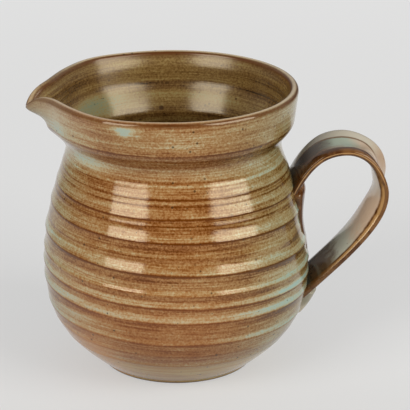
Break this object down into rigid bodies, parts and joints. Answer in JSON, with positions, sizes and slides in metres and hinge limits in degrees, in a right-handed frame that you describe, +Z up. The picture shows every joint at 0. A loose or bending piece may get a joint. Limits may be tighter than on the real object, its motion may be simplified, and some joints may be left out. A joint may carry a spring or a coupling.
{
  "type": "cream jug",
  "caption": "Wheel-thrown stoneware cream jug with a round belly, narrow neck, upright collar, pulled pouring lip and a luted strap handle, in streaky brown and pale green glaze.",
  "frame": {"origin": "centre of the flat foot that the jug stands on", "axes": "+Z up along the throwing axis, +X towards the handle, so the pouring lip points along -X"},
  "size_m": [0.1263, 0.0934, 0.1],
  "materials": {
    "body_glaze": "glossy streaked brown and pale green glaze over stoneware, bare clay under the foot",
    "handle_glaze": "glossy glaze, pale blue green on the strap's faces and brown on its edges",
    "lute_glaze": "glossy glaze pooled pale green over smeared clay"
  },
  "bodies": {
    "root": {"thrown_body": "body_glaze", "strap_handle": "handle_glaze", "upper_lute": "lute_glaze", "lower_lute": "lute_glaze"}
  },
  "joints": []
}
